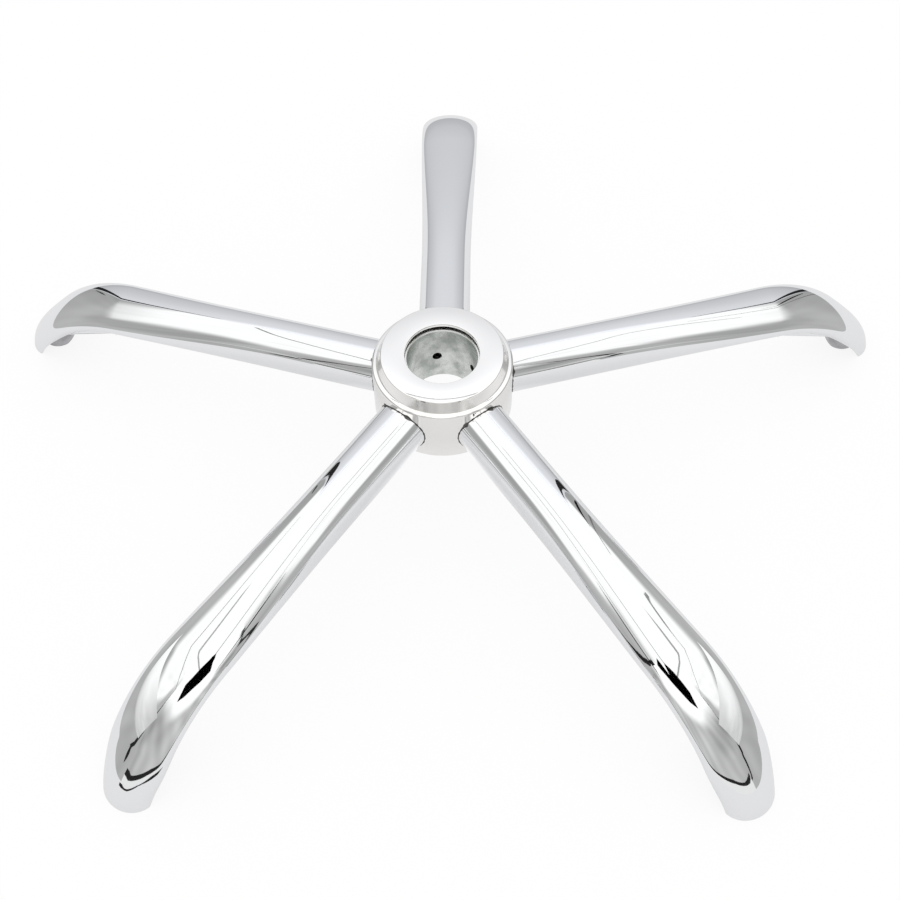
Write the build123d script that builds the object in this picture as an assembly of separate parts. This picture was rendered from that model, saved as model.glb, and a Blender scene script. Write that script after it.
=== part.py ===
"""Five-arm base of a swivel chair, in chromed steel.

Five bent tubes are welded round a ring hub. A tapered sleeve in the hub holds the gas column. Each
tube is round at the hub, is pressed to a wide oval through its bend, and turns down to the floor.
The side of its end that faces the hub is milled away, so the outer side stays as a hood round a
turned caster socket.

Frame: +Z up, origin at the centre of the column hole on the hub's top face. Arm 1 points along +Y,
and the others follow it counter-clockwise, seen from above. Millimetres throughout.
"""
from build123d import *
from math import cos, radians, sin
import os

# The whole base
base_height = 109.8            # hub top face above the floor
arm_count = 5
first_arm_azimuth = 90.0       # degrees from +X

# Hub shell
hub_radius = 50.0              # lower wall, outside
hub_wall = 3.0
top_plate = 2.5
boss_height = 8.5              # top face down to the ledge
ledge_width = 3.4
boss_draft = 3.4               # the boss is this much smaller in radius at its top
column_hole_clearance = 1.2    # hole in the top plate, wider in radius than the sleeve's bore
ledge_rim_fillet = 2.0         # rounded rim between ledge and lower wall
boss_edge_fillet = 1.0
cover_above_tube = 5.3         # lower wall between the ledge and the tubes
cover_below_tube = 2.2         # lower wall between the tubes and its foot

# Taper sleeve that seats the gas column
sleeve_bore_radius = 25.2      # at its top end
sleeve_wall = 3.0              # there, the thinnest place
column_taper = 20.0            # length over which the diameter closes by one unit
sleeve_seam = 2.0              # open seam below the top plate
vent_radius = 3.5
vent_angle = 11.0              # degrees past each arm

# Ring that ties the sleeve to the shell at the foot of the hub
foot_ring_thickness = 4.0

# Arm tube and its centre line
tube_radius = 19.0
tube_wall = 2.0
root_inset = 8.0               # the centre line starts this far inside the hub wall
arm_slope = 3.78               # degrees below level, going outward
bend_start_radius = 258.4      # from the hub axis
bend_radius = 89.0
foot_slope = 73.0              # degrees below level where the bend ends

# Oval of the pressed tube, as half axes, with its places along the centre line
oval_half_width = 23.7
oval_half_height = 11.0
foot_half_width = 19.7
foot_half_height = 16.4
oval_lead = 142.0              # the round tube starts to widen this far before the bend
oval_full = 41.0               # past the start of the bend, where the oval is full
oval_end = 67.0                # past the start of the bend, where it narrows towards the foot
section_spacing = 22.0         # between the sections of the loft

# Round cut that opens the tube's end towards the hub, placed from the centre line's foot
end_cut_radius = 111.0
end_cut_inset = 94.0
end_cut_drop = 54.5            # its centre below the floor

# Caster socket
socket_radius = 12.5
socket_length = 30.0
socket_inset = 5.0             # its axis, towards the hub from the centre line's foot
socket_clearance = 4.5         # lower face above the floor
socket_edge_fillet = 1.5
stem_radius = 5.5              # 11 mm caster stem
stem_depth = 20.0
stem_chamfer = 1.0

# Worked out from the sizes above
floor = -base_height
boss_foot_radius = hub_radius - ledge_width
boss_top_radius = boss_foot_radius - boss_draft
column_hole_radius = sleeve_bore_radius + column_hole_clearance
root_depth = boss_height + cover_above_tube + tube_radius
hub_depth = root_depth + tube_radius + cover_below_tube
shell_bore_radius = hub_radius - hub_wall
sleeve_top = -top_plate - sleeve_seam
sleeve_outer_radius = sleeve_bore_radius + sleeve_wall
sleeve_foot_radius = sleeve_bore_radius - (hub_depth + sleeve_top) / (2 * column_taper)

slope = radians(arm_slope)
steep = radians(foot_slope)
root_radius = hub_radius - root_inset
straight_length = (bend_start_radius - root_radius) / cos(slope)
bend_length = bend_radius * (steep - slope)
bend_start_drop = root_depth + straight_length * sin(slope)
bend_end_drop = bend_start_drop + bend_radius * (cos(slope) - cos(steep))
past_floor = 2 * tube_radius   # the tube is made this much too long, then cut level
tail_length = max(base_height - bend_end_drop, 0) / sin(steep) + past_floor
tube_end = straight_length + bend_length + tail_length


def arm_azimuth(number):
    return first_arm_azimuth + 360.0 / arm_count * (number - 1)


def turned(points, rounded):
    """Revolve a closed outline of (radius, height) points about Z, with some corners rounded."""
    outline = make_face(Polyline(*[(r, z) for r, z in points], close=True))
    for corner, radius in rounded:
        vertex = outline.vertices().sort_by_distance((corner[0], corner[1], 0))[0]
        outline = fillet(vertex, radius)
    return revolve(Plane.XZ * outline, Axis.Z)


def hub_shell():
    """Stepped cap: top plate with the column hole, tapered boss, ledge and lower wall."""
    under_boss = -boss_height - top_plate
    boss_edge = (boss_top_radius, 0)
    ledge_rim = (hub_radius, -boss_height)
    outline = [
        (column_hole_radius, 0),
        boss_edge,
        (boss_foot_radius, -boss_height),
        ledge_rim,
        (hub_radius, -hub_depth),
        (shell_bore_radius, -hub_depth),
        (shell_bore_radius, under_boss),
        (boss_foot_radius - hub_wall, under_boss),
        (boss_top_radius - hub_wall, -top_plate),
        (column_hole_radius, -top_plate),
    ]
    return turned(outline, [(boss_edge, boss_edge_fillet), (ledge_rim, ledge_rim_fillet)])


def taper_sleeve():
    """Liner tube with a tapered bore and one vent hole beside each arm."""
    outline = [
        (sleeve_bore_radius, sleeve_top),
        (sleeve_outer_radius, sleeve_top),
        (sleeve_outer_radius, -hub_depth),
        (sleeve_foot_radius, -hub_depth),
    ]
    sleeve = turned(outline, [])
    for number in range(1, arm_count + 1):
        across = Rot(0, 0, arm_azimuth(number) + vent_angle) * Rot(0, 90, 0)
        drill = Cylinder(vent_radius, hub_radius, align=(Align.CENTER, Align.CENTER, Align.MIN))
        sleeve -= Pos(0, 0, -root_depth) * across * drill
    return sleeve


def hub_foot_ring():
    """Flat ring between sleeve and shell, flush with the foot of the hub."""
    outline = [
        (sleeve_outer_radius, -hub_depth),
        (shell_bore_radius, -hub_depth),
        (shell_bore_radius, -hub_depth + foot_ring_thickness),
        (sleeve_outer_radius, -hub_depth + foot_ring_thickness),
    ]
    return turned(outline, [])


def centre_line(station):
    """Radius, height and slope of an arm's centre line, station mm along it from the root."""
    straight = min(station, straight_length)
    bent = min(max(station - straight_length, 0), bend_length)
    tail = max(station - straight_length - bend_length, 0)
    angle = slope + bent / bend_radius
    reach = root_radius + straight * cos(slope) + bend_radius * (sin(angle) - sin(slope)) + tail * cos(angle)
    drop = root_depth + straight * sin(slope) + bend_radius * (cos(slope) - cos(angle)) + tail * sin(angle)
    return reach, -drop, angle


def foot_of_centre_line():
    """Station and radius where the centre line meets the floor, by halving the way to it."""
    low, high = 0.0, tube_end
    while high - low > 1e-6:
        middle = (low + high) / 2
        if centre_line(middle)[1] > floor:
            low = middle
        else:
            high = middle
    return low, centre_line(low)[0]


foot_station, foot_reach = foot_of_centre_line()


def ease(station, start, end):
    """Smooth step from 0 at start to 1 at end."""
    share = min(max((station - start) / (end - start), 0), 1)
    return share * share * (3 - 2 * share)


def half_axes(station):
    """Half width and half height of the tube's outside."""
    widened = ease(station, straight_length - oval_lead, straight_length + oval_full)
    narrowed = ease(station, straight_length + oval_end, foot_station)
    half_width = (
        tube_radius
        + (oval_half_width - tube_radius) * widened
        + (foot_half_width - oval_half_width) * narrowed
    )
    half_height = (
        tube_radius
        + (oval_half_height - tube_radius) * widened
        + (foot_half_height - oval_half_height) * narrowed
    )
    return half_width, half_height


def tube_body(inset):
    """Solid along an arm's whole centre line, inset from the tube's outside, with the arm along +X."""
    count = round(tube_end / section_spacing)
    sections = []
    for index in range(count + 1):
        station = tube_end * index / count
        reach, height, angle = centre_line(station)
        square_to_line = Plane(
            origin=(reach, 0, height),
            x_dir=(0, 1, 0),
            z_dir=(cos(angle), 0, -sin(angle)),
        )
        half_width, half_height = half_axes(station)
        sections.append(square_to_line * Ellipse(half_width - inset, half_height - inset))
    return loft(sections)


def arm_tube(outside, inside):
    """Hollow tube coped to the hub wall, cut level at the floor and milled open towards the hub."""
    hub_space = Cylinder(hub_radius, 4 * base_height)
    span = 2 * foot_reach
    below_floor = Pos(0, 0, floor) * Box(span, span, base_height, align=(Align.MIN, Align.CENTER, Align.MAX))
    end_cutter = Cylinder(end_cut_radius, 4 * oval_half_width, rotation=(90, 0, 0))
    end_cutter = Pos(foot_reach - end_cut_inset, 0, floor - end_cut_drop) * end_cutter
    return outside - inside - hub_space - below_floor - end_cutter


def caster_socket(inside):
    """Turned socket that fills the hood, trimmed to the tube's inner wall, with a blind stem bore."""
    upward = (Align.CENTER, Align.CENTER, Align.MIN)
    blank = Cylinder(socket_radius, socket_length, align=upward)
    lower_edge = blank.edges().sort_by(Axis.Z)[0]
    blank = fillet(lower_edge, socket_edge_fillet)
    bore = Cylinder(stem_radius, stem_depth, align=upward)
    bore += Cone(stem_radius + stem_chamfer, stem_radius, stem_chamfer, align=upward)
    place = Pos(foot_reach - socket_inset, 0, floor + socket_clearance)
    return (place * blank & inside) - place * bore


outside = tube_body(0)
inside = tube_body(tube_wall)
tube = arm_tube(outside, inside)
socket = caster_socket(inside)

parts = {
    "hub_shell": hub_shell(),
    "taper_sleeve": taper_sleeve(),
    "hub_foot_ring": hub_foot_ring(),
}
for number in range(1, arm_count + 1):
    to_arm = Rot(0, 0, arm_azimuth(number))
    parts[f"arm_tube_{number}"] = to_arm * tube
    parts[f"caster_socket_{number}"] = to_arm * socket

os.makedirs("parts", exist_ok=True)
for name, shape in parts.items():
    export_step(shape, f"parts/{name}.step")
print("centre line meets the floor at radius", round(foot_reach, 2))
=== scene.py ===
"""Looks of a five-arm chair base in chromed steel, inside a white light tent. Metres, +Z up."""

import bmesh
import bpy
import numpy as np
from math import cos, pi, radians, sin, tan
from mathutils import Matrix, Vector


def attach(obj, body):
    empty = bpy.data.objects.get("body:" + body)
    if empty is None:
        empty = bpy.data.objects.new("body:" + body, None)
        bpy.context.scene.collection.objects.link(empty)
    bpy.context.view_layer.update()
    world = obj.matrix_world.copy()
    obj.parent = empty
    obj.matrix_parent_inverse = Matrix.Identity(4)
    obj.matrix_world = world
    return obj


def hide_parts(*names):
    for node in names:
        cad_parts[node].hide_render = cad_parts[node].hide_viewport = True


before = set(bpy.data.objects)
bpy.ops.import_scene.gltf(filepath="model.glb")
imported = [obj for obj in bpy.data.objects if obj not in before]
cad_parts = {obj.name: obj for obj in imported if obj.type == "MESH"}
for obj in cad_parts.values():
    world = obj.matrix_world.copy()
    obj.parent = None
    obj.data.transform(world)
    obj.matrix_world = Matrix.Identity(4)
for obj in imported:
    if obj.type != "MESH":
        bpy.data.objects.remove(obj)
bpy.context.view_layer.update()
mm = 0.001

# Sizes shared with the construction, in millimetres
base_height = 109.8
arm_count = 5
first_arm_azimuth = 90.0
hub_radius = 50.0
hub_wall = 3.0
top_plate = 2.5
boss_height = 8.5
ledge_width = 3.4
boss_draft = 3.4
ledge_rim_fillet = 2.0
boss_edge_fillet = 1.0
cover_above_tube = 5.3
cover_below_tube = 2.2
column_hole_radius = 26.4
tube_radius = 19.0
tube_wall = 2.0
root_inset = 8.0
arm_slope = 3.78
bend_start_radius = 258.4
bend_radius = 89.0
foot_slope = 73.0
oval_half_width = 23.7
oval_half_height = 11.0
foot_half_width = 19.7
foot_half_height = 16.4
oval_lead = 142.0
oval_full = 41.0
oval_end = 67.0
end_cut_radius = 111.0
end_cut_inset = 94.0
end_cut_drop = 54.5

# Worked out from them
floor_height = -base_height
floor_z = floor_height * mm
boss_foot_radius = hub_radius - ledge_width
boss_top_radius = boss_foot_radius - boss_draft
root_depth = boss_height + cover_above_tube + tube_radius
hub_depth = root_depth + tube_radius + cover_below_tube
shell_bore_radius = hub_radius - hub_wall
slope = radians(arm_slope)
steep = radians(foot_slope)
root_radius = hub_radius - root_inset
straight_length = (bend_start_radius - root_radius) / cos(slope)
bend_length = bend_radius * (steep - slope)
bend_start_drop = root_depth + straight_length * sin(slope)
bend_end_drop = bend_start_drop + bend_radius * (cos(slope) - cos(steep))
tail_length = (base_height - bend_end_drop) / sin(steep) + 2 * tube_radius
tube_end = straight_length + bend_length + tail_length

# Density of the meshes
around = 112                   # points round a tube's section
straight_rows = 56
bend_rows = 40
end_rows = 46
cut_start_share = 0.45         # of the bend, where the rows begin to follow the end cut
hub_segments = 320

# Edges
edge_break = 0.35              # rounding of a tube's cut edges
edge_break_angle = 40.0        # edges sharper than this are rounded
hub_smooth_angle = 30.0        # edges of the hub sharper than this stay crisp
hole_edge = 0.25               # roundings of the hub's small edges
ledge_corner = 0.5
foot_edge = 0.4
inner_edge = 0.3

# Weld bead between tube and hub
weld_size = 0.6
weld_ripple = 0.16
weld_steps = 6
weld_blob = 1.3                # extra size where a bead starts or stops
weld_blob_width = 0.10         # radians round the tube
weld_blobs = ((52, 5), (122, 4))   # degrees round the tube, and the shift from arm to arm
weld_root_back = 0.2           # the hidden side of the bead lies this far inside the hub wall
weld_root_inward = 0.6

# Where finishes, painted shade and a painted highlight change
rim_foot = 6.3                 # the sleeve's bright rim, a painted highlight, ends this far below the hub's top
shell_margin = 0.8             # the dull inside of the hub, painted near black as shade, reaches this far past the bore
plate_margin = 1.0             # and starts this far below the ledge
ledge_margin = 0.3             # the softer boss side ends this far above the ledge


# Shape of an arm

def azimuth_of(number):
    return first_arm_azimuth + 360 / arm_count * (number - 1)


def centre_line(station):
    """Reach, height and slope of the centre line, for an array of stations."""
    straight = np.minimum(station, straight_length)
    bent = np.clip(station - straight_length, 0, bend_length)
    tail = np.maximum(station - straight_length - bend_length, 0)
    angle = slope + bent / bend_radius
    reach = root_radius + straight * cos(slope) + bend_radius * (np.sin(angle) - sin(slope))
    reach = reach + tail * np.cos(angle)
    drop = root_depth + straight * sin(slope) + bend_radius * (cos(slope) - np.cos(angle))
    drop = drop + tail * np.sin(angle)
    return reach, -drop, angle


def first_true(test, low, high, samples=1200, halvings=22):
    """Smallest station from low on at which test holds, for each point round the section."""
    stations = np.linspace(low, high, samples)
    held = np.array([test(np.full(around, station)) for station in stations])
    index = np.argmax(held, axis=0)
    upper = stations[index]
    lower = stations[np.maximum(index - 1, 0)]
    for _ in range(halvings):
        middle = (lower + upper) / 2
        true_here = test(middle)
        upper = np.where(true_here, middle, upper)
        lower = np.where(true_here, lower, middle)
    return upper


def foot_of_centre_line(samples=200001):
    """Station and reach at which the centre line meets the floor."""
    stations = np.linspace(0, tube_end, samples)
    heights = centre_line(stations)[1]
    index = int(np.argmax(heights <= floor_height))
    return stations[index], centre_line(stations[index])[0]


foot_station, foot_reach = foot_of_centre_line()


def ease(value, start, end):
    """Smooth step from 0 at start to 1 at end."""
    share = np.clip((value - start) / (end - start), 0, 1)
    return share * share * (3 - 2 * share)


def half_axes(station):
    """Half width and half height of the tube's outside."""
    widened = ease(station, straight_length - oval_lead, straight_length + oval_full)
    narrowed = ease(station, straight_length + oval_end, foot_station)
    half_width = tube_radius + (oval_half_width - tube_radius) * widened
    half_width = half_width + (foot_half_width - oval_half_width) * narrowed
    half_height = tube_radius + (oval_half_height - tube_radius) * widened
    half_height = half_height + (foot_half_height - oval_half_height) * narrowed
    return half_width, half_height


section_angles = np.linspace(0, 2 * pi, around, endpoint=False)


def wall_point(station, inset):
    """Point of the tube's wall for each section angle, arm along +X. Angle 90 degrees is the top."""
    reach, height, angle = centre_line(station)
    half_width, half_height = half_axes(station)
    sideways = (half_width - inset) * np.cos(section_angles)
    upward = (half_height - inset) * np.sin(section_angles)
    x = reach + upward * np.sin(angle)
    z = height + upward * np.cos(angle)
    return np.stack([x, sideways, z], axis=-1)


def past_end(inset):
    """Test whether a wall point is in the end cut or below the floor."""
    cutter_x = foot_reach - end_cut_inset
    cutter_z = floor_height - end_cut_drop

    def test(station):
        point = wall_point(station, inset)
        from_cutter = np.hypot(point[:, 0] - cutter_x, point[:, 2] - cutter_z)
        return (from_cutter <= end_cut_radius) | (point[:, 2] <= floor_height)
    return test


def past_hub(inset):
    """Test whether a wall point is outside the hub."""
    def test(station):
        point = wall_point(station, inset)
        return np.hypot(point[:, 0], point[:, 1]) >= hub_radius
    return test


def root_station(inset):
    """Station at which each wall point leaves the hub."""
    return first_true(past_hub(inset), 0, 4 * root_inset)


# Mesh helpers

def new_object(name, points, faces):
    """Smooth mesh object from points in millimetres."""
    mesh = bpy.data.meshes.new(name)
    mesh.from_pydata([tuple(float(c) * mm for c in p) for p in points], [], faces)
    mesh.update()
    piece = bpy.data.objects.new(name, mesh)
    bpy.context.scene.collection.objects.link(piece)
    mesh.shade_smooth()
    return piece


def ring_faces(row_count, points_per_row):
    """Quads between successive closed rings, and from the last ring to the first."""
    faces = []
    for row in range(row_count):
        after = (row + 1) % row_count
        for k in range(points_per_row):
            beside = (k + 1) % points_per_row
            faces.append((
                row * points_per_row + k,
                row * points_per_row + beside,
                after * points_per_row + beside,
                after * points_per_row + k,
            ))
    return faces


def outward(piece):
    """Turn all faces so that their normals point out of the solid."""
    mesh = bmesh.new()
    mesh.from_mesh(piece.data)
    bmesh.ops.recalc_face_normals(mesh, faces=mesh.faces)
    mesh.to_mesh(piece.data)
    mesh.free()


def turn_about_z(points, degrees):
    cosine, sine = cos(radians(degrees)), sin(radians(degrees))
    turned = points.copy()
    turned[..., 0] = cosine * points[..., 0] - sine * points[..., 1]
    turned[..., 1] = sine * points[..., 0] + cosine * points[..., 1]
    return turned


def ring_piece(name, rows, number):
    """Closed piece of an arm from rings of points along +X, turned to the arm's azimuth."""
    points = turn_about_z(np.concatenate(rows), azimuth_of(number))
    piece = new_object(name, points, ring_faces(len(rows), around))
    outward(piece)
    return piece


def rounded_outline(corners, steps=10):
    """Outline of (radius, height) points from corners that each have the radius of a tangent arc."""
    outline = []
    places = np.array(corners, dtype=float)[:, :2]
    for index, here in enumerate(places):
        radius = corners[index][2]
        if radius == 0:
            outline.append(here)
            continue
        before = places[index - 1] - here
        after = places[(index + 1) % len(places)] - here
        before /= np.linalg.norm(before)
        after /= np.linalg.norm(after)
        half = np.arccos(np.clip(before @ after, -1, 1)) / 2
        middle = (before + after) / np.linalg.norm(before + after)
        centre = here + middle * radius / sin(half)
        start = here + before * radius / tan(half) - centre
        end = here + after * radius / tan(half) - centre
        sweep = pi - 2 * half
        for step in range(steps + 1):
            share = step / steps
            weight_start = sin((1 - share) * sweep) / sin(sweep)
            weight_end = sin(share * sweep) / sin(sweep)
            outline.append(centre + weight_start * start + weight_end * end)
    return np.array(outline)


def lathe(name, outline, segments):
    """Closed ring turned about Z from an outline of (radius, height)."""
    angles = np.linspace(0, 2 * pi, segments, endpoint=False)
    points = []
    for radius, height in outline:
        points += [(radius * cos(a), radius * sin(a), height) for a in angles]
    piece = new_object(name, points, ring_faces(len(outline), segments))
    outward(piece)
    return piece


# Material helpers

def metal(name):
    """Material of bare metal, with its node tree, shader and object coordinates."""
    made = bpy.data.materials.new(name)
    made.use_nodes = True
    nodes = made.node_tree.nodes
    links = made.node_tree.links
    shader = nodes["Principled BSDF"]
    shader.inputs["Metallic"].default_value = 1.0
    place = nodes.new("ShaderNodeTexCoord").outputs["Object"]
    return made, nodes, links, shader, place


def noise(nodes, links, place, scale, detail, roughness=0.5):
    texture = nodes.new("ShaderNodeTexNoise")
    texture.inputs["Scale"].default_value = scale
    texture.inputs["Detail"].default_value = detail
    texture.inputs["Roughness"].default_value = roughness
    links.new(place, texture.inputs["Vector"])
    return texture.outputs["Fac"]


def remap(nodes, links, value, low, high):
    """Spread a noise, which mostly lies between 0.3 and 0.7, from low to high."""
    spread = nodes.new("ShaderNodeMapRange")
    spread.inputs["From Min"].default_value = 0.3
    spread.inputs["From Max"].default_value = 0.7
    spread.inputs["To Min"].default_value = low
    spread.inputs["To Max"].default_value = high
    links.new(value, spread.inputs["Value"])
    return spread.outputs["Result"]


def shades(nodes, links, value, stops):
    """Colour that follows value through (position, colour) stops."""
    ramp = nodes.new("ShaderNodeValToRGB")
    elements = ramp.color_ramp.elements
    while len(elements) < len(stops):
        elements.new(0.5)
    for element, (position, color) in zip(elements, stops):
        element.position = position
        element.color = (*color, 1)
    links.new(value, ramp.inputs["Fac"])
    return ramp.outputs["Color"]


def bump(nodes, links, height, distance, strength, normal=None):
    node = nodes.new("ShaderNodeBump")
    node.inputs["Distance"].default_value = distance
    node.inputs["Strength"].default_value = strength
    links.new(height, node.inputs["Height"])
    if normal is not None:
        links.new(normal, node.inputs["Normal"])
    return node.outputs["Normal"]


def turning_lines(nodes, links, place, scale, distortion, depth, strength):
    """Normal of the fine rings that turning leaves."""
    wave = nodes.new("ShaderNodeTexWave")
    wave.bands_direction = "Z"
    wave.inputs["Scale"].default_value = scale
    wave.inputs["Distortion"].default_value = distortion
    links.new(place, wave.inputs["Vector"])
    return bump(nodes, links, wave.outputs["Fac"], depth, strength)


def height_of(nodes, links, place):
    parts = nodes.new("ShaderNodeSeparateXYZ")
    links.new(place, parts.inputs["Vector"])
    return parts.outputs["Z"]


def distance_from_axis(nodes, links, place):
    flat = nodes.new("ShaderNodeVectorMath")
    flat.operation = "MULTIPLY"
    flat.inputs[1].default_value = (1, 1, 0)
    links.new(place, flat.inputs[0])
    length = nodes.new("ShaderNodeVectorMath")
    length.operation = "LENGTH"
    links.new(flat.outputs["Vector"], length.inputs[0])
    return length.outputs["Value"]


def calculate(nodes, links, operation, first, second):
    """Math on a socket and a number, or on two sockets."""
    node = nodes.new("ShaderNodeMath")
    node.operation = operation
    links.new(first, node.inputs[0])
    if isinstance(second, float):
        node.inputs[1].default_value = second
    else:
        links.new(second, node.inputs[1])
    return node.outputs["Value"]


def two_colors(nodes, links, share, first, second):
    """Mix of two colours, each a tuple or a socket."""
    mix = nodes.new("ShaderNodeMix")
    mix.data_type = "RGBA"
    links.new(share, mix.inputs["Factor"])
    for name, color in (("A", first), ("B", second)):
        if isinstance(color, tuple):
            mix.inputs[name].default_value = (*color, 1)
        else:
            links.new(color, mix.inputs[name])
    return mix.outputs["Result"]


# Materials

def chrome_material():
    """Polished chrome plate: near mirror, with faint waves in the steel and a little haze."""
    made, nodes, links, shader, place = metal("chrome_plate")
    shader.inputs["Base Color"].default_value = (0.93, 0.935, 0.94, 1)
    haze = noise(nodes, links, place, 34.0, 5.0)
    links.new(remap(nodes, links, haze, 0.012, 0.045), shader.inputs["Roughness"])
    waves = noise(nodes, links, place, 26.0, 1.0)
    polish = noise(nodes, links, place, 900.0, 2.0)
    wavy = bump(nodes, links, waves, 0.00016, 0.35)
    links.new(bump(nodes, links, polish, 0.000002, 0.3, wavy), shader.inputs["Normal"])
    return made


def hub_material():
    """Bright warm chrome, softer on the boss's side, and dull and near black inside the shell, where the
    colour is painted shade.
    """
    made, nodes, links, shader, place = metal("hub_chrome")
    height = height_of(nodes, links, place)
    radius = distance_from_axis(nodes, links, place)
    within = calculate(nodes, links, "LESS_THAN", radius, (shell_bore_radius + shell_margin) * mm)
    below = calculate(nodes, links, "LESS_THAN", height, -(boss_height + plate_margin) * mm)
    inside = calculate(nodes, links, "MULTIPLY", within, below)
    # the near-black colour inside the shell is painted shade, which keeps the vent holes dark
    color = two_colors(nodes, links, inside, (1.0, 0.988, 0.962), (0.02, 0.02, 0.02))
    links.new(color, shader.inputs["Base Color"])
    above_ledge = calculate(nodes, links, "GREATER_THAN", height, -(boss_height - ledge_margin) * mm)
    under_edge = calculate(nodes, links, "LESS_THAN", height, -boss_edge_fillet * mm)
    boss_side = calculate(nodes, links, "MULTIPLY", above_ledge, under_edge)
    polished, hazy, dull = 0.025, 0.14, 0.6
    boss_roughness = calculate(nodes, links, "MULTIPLY", boss_side, hazy)
    inside_roughness = calculate(nodes, links, "MULTIPLY", inside, dull)
    both = calculate(nodes, links, "ADD", inside_roughness, boss_roughness)
    links.new(calculate(nodes, links, "ADD", both, polished), shader.inputs["Roughness"])
    waves = noise(nodes, links, place, 22.0, 1.0)
    links.new(bump(nodes, links, waves, 0.00010, 0.3), shader.inputs["Normal"])
    return made


def weld_material():
    """Bead painted dark as the shade in the crevice at the tube's root, patchy in tone, with a fine rippled
    surface.
    """
    made, nodes, links, shader, place = metal("weld_bead_painted_shade")
    patches = noise(nodes, links, place, 260.0, 4.0)
    # the dark colours are painted shade of the crevice where tube meets hub, with patches of uneven tone
    color = shades(nodes, links, patches, [(0.34, (0.055, 0.054, 0.052)), (0.68, (0.17, 0.165, 0.16))])
    links.new(color, shader.inputs["Base Color"])
    links.new(remap(nodes, links, patches, 0.55, 0.3), shader.inputs["Roughness"])
    ripples = noise(nodes, links, place, 900.0, 2.0)
    links.new(bump(nodes, links, ripples, 0.0001, 0.5), shader.inputs["Normal"])
    return made


def sleeve_material():
    """Thinly plated turned bore: satin, mottled, with fine turning lines and a bright top rim that is a
    painted highlight.
    """
    made, nodes, links, shader, place = metal("satin_sleeve")
    mottle = noise(nodes, links, place, 70.0, 6.0, 0.6)
    patchy = shades(nodes, links, mottle, [(0.36, (0.38, 0.40, 0.38)), (0.62, (0.66, 0.68, 0.65))])
    # the top band is painted near white: a painted highlight at the mouth of the bore
    rim = calculate(nodes, links, "GREATER_THAN", height_of(nodes, links, place), -rim_foot * mm)
    color = two_colors(nodes, links, rim, patchy, (0.95, 0.95, 0.93))
    links.new(color, shader.inputs["Base Color"])
    links.new(remap(nodes, links, mottle, 0.34, 0.20), shader.inputs["Roughness"])
    lines = turning_lines(nodes, links, place, 420.0, 1.5, 0.00002, 0.4)
    links.new(lines, shader.inputs["Normal"])
    return made


def socket_material():
    """Turned and plated socket: darker than the tube, with turning lines."""
    made, nodes, links, shader, place = metal("turned_socket")
    mottle = noise(nodes, links, place, 120.0, 4.0)
    color = shades(nodes, links, mottle, [(0.3, (0.40, 0.40, 0.41)), (0.7, (0.58, 0.58, 0.60))])
    links.new(color, shader.inputs["Base Color"])
    links.new(remap(nodes, links, mottle, 0.10, 0.2), shader.inputs["Roughness"])
    lines = turning_lines(nodes, links, place, 600.0, 0.6, 0.00001, 0.3)
    links.new(lines, shader.inputs["Normal"])
    return made


def dress(piece, made):
    piece.data.materials.clear()
    piece.data.materials.append(made)


# Pieces

def arm_grid(inset):
    """Rings of wall points from the hub to the cut end."""
    start = root_station(inset)
    end = first_true(past_end(inset), straight_length, tube_end)
    knee = straight_length
    cut_begins = knee + cut_start_share * bend_length
    rows = []
    for share in np.linspace(0, 1, straight_rows + 1)[:-1]:
        rows.append(wall_point(start + (knee - start) * share, inset))
    for share in np.linspace(0, 1, bend_rows + 1)[:-1]:
        rows.append(wall_point(np.full(around, knee + (cut_begins - knee) * share), inset))
    for share in np.linspace(0, 1, end_rows + 1):
        rows.append(wall_point(cut_begins + (end - cut_begins) * share, inset))
    return rows


def break_edges(piece):
    """Round the sharp edges a little and keep the walls smooth."""
    bevel = piece.modifiers.new("edge_break", "BEVEL")
    bevel.width = edge_break * mm
    bevel.segments = 3
    bevel.limit_method = "ANGLE"
    bevel.angle_limit = radians(edge_break_angle)
    bevel.use_clamp_overlap = False
    bevel.harden_normals = True
    graph = bpy.context.evaluated_depsgraph_get()
    finished = bpy.data.meshes.new_from_object(piece.evaluated_get(graph))
    piece.modifiers.clear()
    piece.data = finished


def arm_mesh(number):
    """Hollow tube with its cope at the hub and its milled end."""
    piece = ring_piece(f"arm_{number}", arm_grid(0) + arm_grid(tube_wall)[::-1], number)
    break_edges(piece)
    return piece


def hub_mesh():
    """Hub shell, from corners of (radius, height, rounding)."""
    under_boss = -boss_height - top_plate
    corners = [
        (column_hole_radius, 0, hole_edge),
        (boss_top_radius, 0, boss_edge_fillet),
        (boss_foot_radius, -boss_height, ledge_corner),
        (hub_radius, -boss_height, ledge_rim_fillet),
        (hub_radius, -hub_depth, foot_edge),
        (shell_bore_radius, -hub_depth, inner_edge),
        (shell_bore_radius, under_boss, 0),
        (boss_foot_radius - hub_wall, under_boss, 0),
        (boss_top_radius - hub_wall, -top_plate, 0),
        (column_hole_radius, -top_plate, inner_edge),
    ]
    piece = lathe("hub", rounded_outline(corners), hub_segments)
    piece.data.set_sharp_from_angle(angle=radians(hub_smooth_angle))
    return piece


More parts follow.
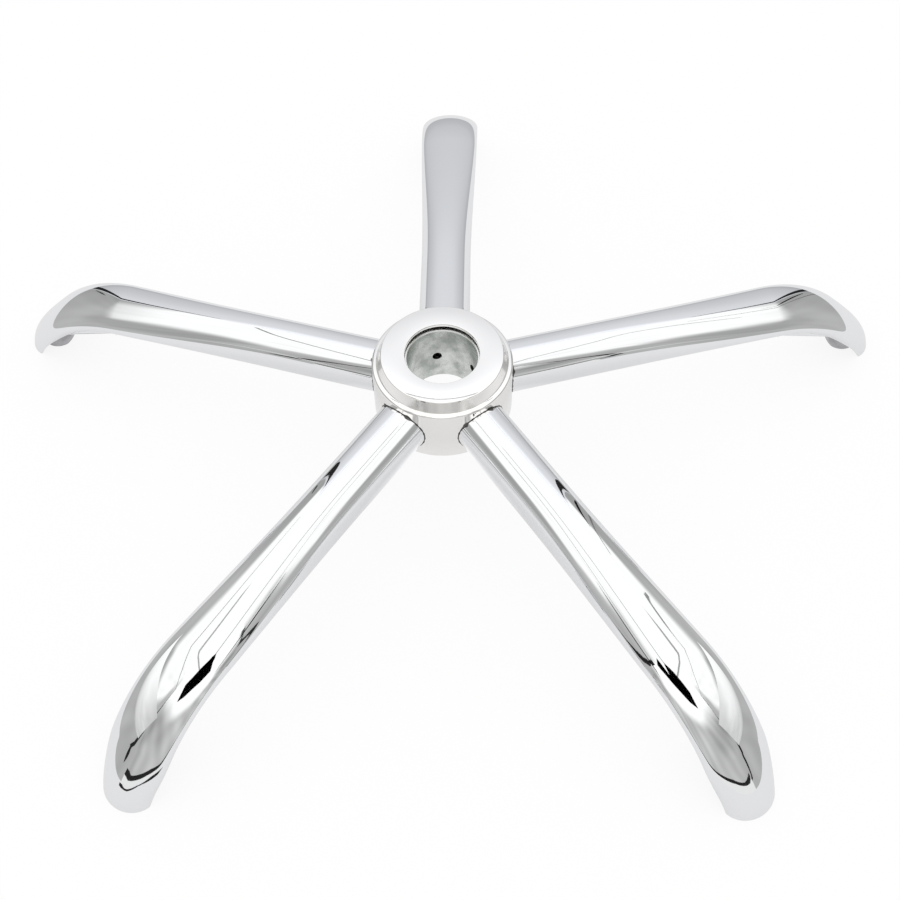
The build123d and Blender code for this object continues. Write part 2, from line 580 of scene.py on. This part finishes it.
def weld_mesh(number):
    """Narrow bead of weld round the tube's root, uneven and with a blob at two places."""
    start = root_station(0)
    corner = wall_point(start, 0)
    slow = np.sin(23 * section_angles + number)
    quick = np.sin(37 * section_angles + 2 * number)
    leg = weld_size + weld_ripple * (slow + 0.6 * quick)
    for degrees, shift in weld_blobs:
        from_blob = section_angles - radians(degrees + shift * number)
        leg = leg + weld_blob * np.exp(-(from_blob / weld_blob_width) ** 2)
    on_tube = wall_point(start + leg, 0)
    away_side = corner[:, 1]
    away_up = corner[:, 2] - corner[:, 2].mean()
    length = np.hypot(away_side, away_up)
    hub_angle = np.arctan2(corner[:, 1], corner[:, 0]) + leg * away_side / length / hub_radius
    on_hub = np.stack([
        hub_radius * np.cos(hub_angle),
        hub_radius * np.sin(hub_angle),
        corner[:, 2] + leg * away_up / length,
    ], axis=-1)
    rows = []
    for step in range(weld_steps + 1):
        t = step / weld_steps
        rows.append((1 - t) ** 2 * on_tube + 2 * t * (1 - t) * corner + t ** 2 * on_hub)
    rows.append(wall_point(start - weld_root_back, 0) - np.array([weld_root_inward, 0, 0]))
    return ring_piece(f"weld_{number}", rows, number)


chrome = chrome_material()
sleeve_steel = sleeve_material()
socket_steel = socket_material()
hub_chrome = hub_material()
weld_bead_painted_shade = weld_material()

for number in range(1, arm_count + 1):
    arm = arm_mesh(number)
    dress(arm, chrome)
    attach(arm, "root")
    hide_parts(f"arm_tube_{number}")
    weld = weld_mesh(number)
    dress(weld, weld_bead_painted_shade)
    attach(weld, "root")
    dress(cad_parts[f"caster_socket_{number}"], socket_steel)

hub = hub_mesh()
dress(hub, hub_chrome)
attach(hub, "root")
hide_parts("hub_shell")
dress(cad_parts["taper_sleeve"], sleeve_steel)
dress(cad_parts["hub_foot_ring"], chrome)


# Light tent round the object, which only the metal sees. Millimetres, with heights above the floor

wall_distance = 530.0
front_wall_height = 650.0
gusset_foot = 450.0
roof_height = 1250.0
roof_front = -1000.0           # the front slants out to here below the roof
line_distance = 527.0          # seams and folds hang this far out, just inside the walls
skirt_distance = 528.0
roof_line_gap = 5.0            # the roof's lines hang this far below it
floor_line_gap = 2.0           # the dark line on the floor lies this far above the floor
cloth_step = 20.0
white_level = 255.0
plate_reflection = 0.93
dark_line_light = 0.02
skirt_light = 0.83
rear_tint = (0.985, 1.0, 1.04)   # a little blue
floor_reach = 6000.0
whole = (-wall_distance, wall_distance)


def light_of(level):
    """Light that the plate shows as this grey level from 0 to 255."""
    share = np.asarray(level, dtype=float) / 255
    return ((share + 0.055) / 1.055) ** 2.4 / plate_reflection


def blend(first, second, share):
    return first + (second - first) * share


def along(value, *stops):
    """Straight runs between stops of (place, value)."""
    places, values = zip(*stops)
    return np.interp(value, places, values)


def folds(across, upward, phase):
    """Slow unevenness of hanging cloth."""
    slow = np.sin(across * 0.021 + phase) * np.sin(upward * 0.017 + 2 * phase)
    return slow + 0.6 * np.sin(across * 0.05 + upward * 0.03 + phase)


def side_level(y, z, phase):
    """Grey level of a side wall: grey and uneven below, white above, greyer towards the front."""
    low = along(
        y, (-530, 172), (-440, 174), (-200, 174), (60, 178), (220, 178), (300, 168), (450, 160), (530, 155),
    )
    low = low - 12 * ease(z, 120, 240) * ease(y, -400, -300) * (1 - ease(y, 60, 160))
    grey_until = along(
        y, (-440, 280), (-370, 270), (-220, 350), (-20, 370), (60, 300), (200, 330), (400, 430), (530, 480),
    )
    white_from = along(
        y, (-440, 700), (-370, 420), (-220, 460), (-20, 470), (60, 480), (200, 560), (400, 560), (530, 640),
    )
    level = blend(low, white_level, ease(z, grey_until, white_from))
    corner = along(z, (0, 172), (400, 172), (700, 190), (1000, 225), (1200, 245))
    level = blend(corner, level, ease(y, -470, -420))
    cloudy = ease(y, -530, -400) * (1 - ease(y, -250, -150))
    return np.clip(level + (2.5 + 4 * cloudy) * folds(y, z, phase), 0, white_level)


def front_level(x, z, phase):
    """Grey level of the front wall: cloudy grey cloth below that reaches higher towards its ends."""
    side = np.abs(x)
    grey_until = along(side, (0, 235), (200, 250), (350, 280), (530, 380))
    white_from = along(side, (0, 330), (200, 350), (260, 390), (350, 560), (530, 760))
    grey = 1 - ease(z, grey_until, white_from)
    low = along(side, (0, 190), (300, 188), (420, 184), (470, 172), (530, 176))
    low = low - 14 * ease(z, 120, 200) * ease(side, 180, 300)
    level = blend(white_level, low, grey) + 11 * folds(x, z, phase) * grey
    return np.clip(level, 0, white_level)


def rear_level(x, z):
    """Grey level of the rear wall, which brightens slowly with height."""
    level = along(
        z, (0, 178), (60, 186), (100, 194), (250, 205), (400, 214), (640, 220), (780, 240), (860, 255),
        (1000, 255),
    )
    return level - 6 * ease(np.abs(x), 200, 400) * (1 - ease(z, 200, 500))


def glow(name, light=None):
    """Material that shines evenly, or with the light stored at each point of the mesh."""
    made = bpy.data.materials.new(name)
    made.use_nodes = True
    nodes = made.node_tree.nodes
    links = made.node_tree.links
    nodes.clear()
    emission = nodes.new("ShaderNodeEmission")
    if light is None:
        stored = nodes.new("ShaderNodeAttribute")
        stored.attribute_name = "light"
        links.new(stored.outputs["Color"], emission.inputs["Color"])
    else:
        emission.inputs["Color"].default_value = (light, light, light, 1)
    output = nodes.new("ShaderNodeOutputMaterial")
    links.new(emission.outputs["Emission"], output.inputs["Surface"])
    return made


def stage_mesh(name, points, faces, made, reflections_only=True):
    """Piece of the surroundings, from points in millimetres with heights above the floor."""
    mesh = bpy.data.meshes.new(name)
    mesh.from_pydata([(x * mm, y * mm, floor_z + z * mm) for x, y, z in points], [], faces)
    mesh.update()
    card = bpy.data.objects.new(name, mesh)
    bpy.context.scene.collection.objects.link(card)
    card.data.materials.append(made)
    if reflections_only:
        card.visible_camera = False
        card.visible_diffuse = False
        card.visible_transmission = False
        card.visible_shadow = False
    return card


def flat_card(name, corners, made):
    stage_mesh(name, corners, [tuple(range(len(corners)))], made)


def cloth(name, across, upward, place, level, tint=(1, 1, 1)):
    """Grid of cloth between two ranges. place and level work on arrays of its two coordinates."""
    columns = int((across[1] - across[0]) / cloth_step) + 1
    rows = int((upward[1] - upward[0]) / cloth_step) + 1
    first, second = np.meshgrid(np.linspace(*across, columns), np.linspace(*upward, rows))
    first, second = first.ravel(), second.ravel()
    faces = []
    for row in range(rows - 1):
        for column in range(columns - 1):
            corner = row * columns + column
            faces.append((corner, corner + 1, corner + columns + 1, corner + columns))
    card = stage_mesh(name, np.stack(place(first, second), axis=-1), faces, lit_cloth)
    light = light_of(level(first, second))
    colors = np.stack([light * tint[0], light * tint[1], light * tint[2], np.ones_like(light)], axis=-1)
    stored = card.data.color_attributes.new("light", "FLOAT_COLOR", "POINT")
    stored.data.foreach_set("color", colors.ravel())


def line(name, place, points, light):
    """Narrow flat line through (first, second, width) points of the plane that place describes."""
    path = np.array(points, dtype=float)[:, :2]
    widths = np.array(points, dtype=float)[:, 2]
    steps = np.diff(path, axis=0)
    across = np.stack([-steps[:, 1], steps[:, 0]], axis=-1)
    across /= np.linalg.norm(across, axis=1, keepdims=True)
    sideways = np.zeros_like(path)
    sideways[:-1] += across
    sideways[1:] += across
    sideways /= np.linalg.norm(sideways, axis=1, keepdims=True)
    half = sideways * widths[:, None] / 2
    corners = [place(*p) for p in path + half] + [place(*p) for p in path - half]
    count = len(path)
    faces = [(k, k + 1, count + k + 1, count + k) for k in range(count - 1)]
    stage_mesh(name, corners, faces, glow(name, float(light)))


def on_side(side, distance=wall_distance):
    return lambda y, z: (side * distance + 0 * y, y, z)


def on_end(side, distance=wall_distance):
    return lambda x, z: (x, side * distance + 0 * x, z)


def on_level(height):
    return lambda x, y: (x, y, height + 0 * x)


lit_cloth = glow("tent_cloth")
white_card = glow("tent_white", float(light_of(white_level)))
dark_card = glow("dark_card", 0.0)

# Walls, roof and the slanting front
for side, phase in ((-1, 0.3), (1, 1.7)):
    cloth(
        f"tent_side_{side}", whole, (0, roof_height), on_side(side),
        lambda y, z, phase=phase: side_level(y, z, phase),
    )
    flat_card(f"tent_gusset_{side}", [
        (side * wall_distance, -wall_distance, gusset_foot),
        (side * wall_distance, -wall_distance, roof_height),
        (side * wall_distance, roof_front, roof_height),
    ], white_card)
cloth("tent_rear", whole, (0, roof_height), on_end(1), rear_level, rear_tint)
cloth("tent_front", whole, (0, front_wall_height), on_end(-1), lambda x, z: front_level(x, z, 0.9))
flat_card("tent_slant", [
    (-wall_distance, -wall_distance, front_wall_height), (wall_distance, -wall_distance, front_wall_height),
    (wall_distance, roof_front, roof_height), (-wall_distance, roof_front, roof_height),
], white_card)
flat_card("tent_roof", [
    (-wall_distance, roof_front, roof_height), (wall_distance, roof_front, roof_height),
    (wall_distance, wall_distance, roof_height), (-wall_distance, wall_distance, roof_height),
], white_card)

# Seams in the corners
left = on_side(-1, line_distance)
right = on_side(1, line_distance)
rear = on_end(1, line_distance)
front = on_end(-1, line_distance)
line("seam_front_left", left, [
    (-530, 930, 8), (-530, 640, 10), (-518, 420, 14), (-500, 260, 20), (-488, 190, 26), (-470, 110, 28),
    (-440, 70, 22),
], dark_line_light)
line("seam_front_right", right, [
    (-530, 930, 8), (-530, 500, 10), (-522, 400, 14), (-490, 250, 18), (-482, 190, 20), (-484, 110, 21),
    (-505, 70, 18), (-530, 66, 14),
], dark_line_light)
for side in (-1, 1):
    line(f"seam_rear_{side}", rear, [
        (side * 504, 0, 34), (side * 506, 400, 24), (side * 510, 700, 8),
    ], dark_line_light)

# Folds in the side walls
line("fold_left", left, [(505, 90, 8), (483, 196, 24), (466, 260, 4)], 0.06)
line("fold_right", right, [(500, 110, 8), (470, 270, 24), (440, 420, 26), (400, 560, 3)], 0.01)
line("fold_right_slant", right, [
    (476, 0, 9), (430, 180, 9), (380, 450, 9), (318, 706, 9),
], light_of(110))

# Grey lines high in the tent, where its cloths meet
line("top_left", left, [
    (-530, 900, 24), (-256, 930, 34), (160, 862, 34), (420, 872, 22),
], light_of(130))
line("top_right", right, [
    (-530, 893, 16), (-256, 1001, 26), (81, 951, 26), (158, 900, 24), (206, 702, 18), (215, 560, 8),
], light_of(140))
line("top_rear", rear, [(-530, 930, 10), (530, 930, 10)], light_of(150))
under_roof = on_level(roof_height - roof_line_gap)
line("roof_right", under_roof, [
    (430, 110, 34), (330, -150, 34), (180, -370, 34), (60, -520, 34),
], light_of(160))
line("roof_left", under_roof, [
    (-430, 110, 32), (-330, -150, 32), (-180, -370, 32), (-60, -520, 32),
], light_of(170))

# Nearly level cloths beside the front arms, rising a little outwards
flag_inner, flag_outer = 216, 436
flag_front, flag_back = -290, -150
flag_skew = 0.6                # the outer front corner is drawn forward
flag_height = 83.5             # at the middle of the tent, where a cloth would start to rise
flag_rise = 0.1


def flag_level(x, y, phase):
    """Grey level of such a cloth: white beside the arm, cloudy grey further out and to the front."""
    level = along(np.abs(x), (flag_inner, 255), (270, 248), (340, 222), (flag_outer, 182))
    level = blend(level, 205, ease(-y, 200, -flag_front))
    clouds = 10 * ease(-y, 180, 260) * folds(2.2 * x, 2.2 * y, phase)
    return np.clip(level + clouds, 0, white_level)


def flag_place(side):
    """Place of such a cloth's points, from their distance out and their y."""
    def place(out, y):
        forward = flag_skew * (out - flag_inner) * ease(-y, -flag_back, -flag_front)
        return side * out, y - forward, flag_height + flag_rise * out
    return place


for side in (-1, 1):
    cloth(
        f"flag_{side}", (flag_inner, flag_outer), (flag_front, flag_back), flag_place(side),
        lambda out, y, side=side: flag_level(out, y, 1.1 + side),
    )

# Dark cards above the front arms, each edge-on to the opposite arm
flat_card("dark_leaf_left", [
    (-83.9, -241.7, 273.4), (-94.8, -240.2, 281.9), (-128.4, -266.7, 308.1), (-170.3, -306.7, 340.8),
    (-214.8, -344.6, 375.5), (-230.0, -391.9, 387.4), (-254.5, -465.8, 406.5), (-178.1, -417.6, 346.9),
    (-123.7, -369.8, 304.5), (-79.5, -337.7, 270.0), (-45.7, -300.5, 243.6), (-69.5, -254.8, 262.1),
], dark_card)
flat_card("dark_leaf_right", [
    (59.9, -247.7, 254.7), (64.4, -249.8, 258.2), (72.3, -262.2, 264.3), (84.0, -282.8, 273.5),
    (81.8, -246.6, 271.8), (85.9, -238.0, 275.0), (101.6, -247.0, 287.2), (121.3, -261.6, 302.5),
    (156.5, -299.2, 330.0), (198.6, -351.8, 362.9), (211.8, -392.1, 373.1), (240.8, -464.9, 395.8),
    (161.7, -409.5, 334.1), (114.8, -359.4, 297.5), (79.1, -321.7, 269.7), (52.5, -287.0, 248.9),
    (35.2, -266.4, 235.4),
], dark_card)

# Painted shade as a dark line where the floor sheet turns up at the wall, the turned-up sheet below it, and
# a dark line on the floor
sheet_edge_shade = [
    (-530, 66, 30), (-470, 58, 30), (-420, 44, 28), (-330, 42, 24), (-250, 34, 22), (-160, 12, 20),
    (-93, 9, 16), (0, 6, 12), (81, 10, 12), (178, 25, 13), (301, 52, 14), (406, 57, 16), (470, 68, 26),
    (506, 80, 20), (530, 90, 12),
]
# the dark line is painted shade where the wall meets the turned-up floor sheet
line("sheet_edge_shade", front, sheet_edge_shade, dark_line_light)
skirt_top = [(x, -skirt_distance, z) for x, z, width in sheet_edge_shade]
skirt_foot = [(x, -skirt_distance, 0) for x, z, width in sheet_edge_shade]
edge_count = len(sheet_edge_shade)
stage_mesh(
    "sheet_skirt", skirt_foot + skirt_top,
    [(k, k + 1, edge_count + k + 1, edge_count + k) for k in range(edge_count - 1)],
    glow("sheet_skirt", skirt_light),
)
line("floor_dark_line", on_level(floor_line_gap), [
    (-380, -420, 28), (-300, -370, 34), (-262, -372, 40), (-252, -440, 48), (-205, -430, 42),
    (-150, -352, 26),
], dark_line_light)


# Floor, world and camera

shadowless_share = 0.86        # of the floor that the camera sees, and the rest takes the shadow
glow_share = 0.7               # of the floor that the metal sees, whose glow holds painted light and shadow


def diffuse_of(nodes, color):
    diffuse = nodes.new("ShaderNodeBsdfDiffuse")
    diffuse.inputs["Color"].default_value = (*color, 1)
    return diffuse.outputs["BSDF"]


def mixed(nodes, links, share, first, second):
    """Mix of two shaders by a number or a socket."""
    mix = nodes.new("ShaderNodeMixShader")
    if isinstance(share, float):
        mix.inputs["Fac"].default_value = share
    else:
        links.new(share, mix.inputs["Fac"])
    links.new(first, mix.inputs[1])
    links.new(second, mix.inputs[2])
    return mix.outputs["Shader"]


def floor_material():
    """White floor. The camera sees it near white with a faint shadow, and the metal sees it pale grey, with
    a painted pool of light round the hub's foot and a painted shadow ring just beyond it.
    """
    made = bpy.data.materials.new("floor_sheet")
    made.use_nodes = True
    nodes = made.node_tree.nodes
    links = made.node_tree.links
    nodes.clear()
    plain = nodes.new("ShaderNodeEmission")
    plain.inputs["Color"].default_value = (1, 1, 1, 1)
    shaded = diffuse_of(nodes, (1, 1, 1))
    seen = mixed(nodes, links, shadowless_share, shaded, plain.outputs["Emission"])
    distance = nodes.new("ShaderNodeVectorMath")
    distance.operation = "LENGTH"
    links.new(nodes.new("ShaderNodeNewGeometry").outputs["Position"], distance.inputs[0])
    # the metal sees a painted pool of light, brighter than white, round the hub's foot, and a painted
    # shadow ring under the arms just beyond it
    rings = [(0.10, 1.45), (0.128, 0.85), (0.15, 0.72), (0.28, 0.80)]
    stops = [(radius, (light, light, light * 1.01)) for radius, light in rings]
    painted_light_glow = nodes.new("ShaderNodeEmission")
    links.new(shades(nodes, links, distance.outputs["Value"], stops), painted_light_glow.inputs["Color"])
    lit = diffuse_of(nodes, (0.83, 0.83, 0.84))
    reflected = mixed(nodes, links, glow_share, lit, painted_light_glow.outputs["Emission"])
    rays = nodes.new("ShaderNodeLightPath")
    choice = mixed(nodes, links, rays.outputs["Is Camera Ray"], reflected, seen)
    output = nodes.new("ShaderNodeOutputMaterial")
    links.new(choice, output.inputs["Surface"])
    return made


stage_mesh("floor", [
    (-floor_reach, -floor_reach, 0), (floor_reach, -floor_reach, 0),
    (floor_reach, floor_reach, 0), (-floor_reach, floor_reach, 0),
], [(0, 1, 2, 3)], floor_material(), reflections_only=False)

world = bpy.data.worlds.new("studio")
world.use_nodes = True
world.node_tree.nodes["Background"].inputs["Color"].default_value = (1, 1, 1, 1)
world.node_tree.nodes["Background"].inputs["Strength"].default_value = 1.0
bpy.context.scene.world = world

# The camera is fitted to the photograph
camera_azimuth = radians(2.496)
camera_elevation = radians(55.013)
camera_distance = 0.9811       # from the floor point under the hub
camera_roll = radians(-1.742)
focal_pixels = 1275.6
centre_x, centre_y = 444.753, 443.335
picture_width = 900
sensor = 36.0

target = Vector((0, 0, floor_z))
direction = Vector((
    sin(camera_azimuth) * cos(camera_elevation),
    -cos(camera_azimuth) * cos(camera_elevation),
    sin(camera_elevation),
))
level_right = (-direction).cross(Vector((0, 0, 1))).normalized()
level_up = level_right.cross(-direction)
rolled_right = level_right * cos(camera_roll) + level_up * sin(camera_roll)
rolled_up = -level_right * sin(camera_roll) + level_up * cos(camera_roll)
camera_data = bpy.data.cameras.new("camera")
camera = bpy.data.objects.new("camera", camera_data)
bpy.context.scene.collection.objects.link(camera)
turn = Matrix((rolled_right, rolled_up, direction)).transposed().to_4x4()
camera.matrix_world = Matrix.Translation(target + direction * camera_distance) @ turn
camera_data.sensor_width = sensor
camera_data.lens = focal_pixels / picture_width * sensor
camera_data.shift_x = 0.5 - centre_x / picture_width
camera_data.shift_y = centre_y / picture_width - 0.5
camera_data.clip_start = 0.01
bpy.context.scene.camera = camera
bpy.context.scene.view_settings.view_transform = "Standard"
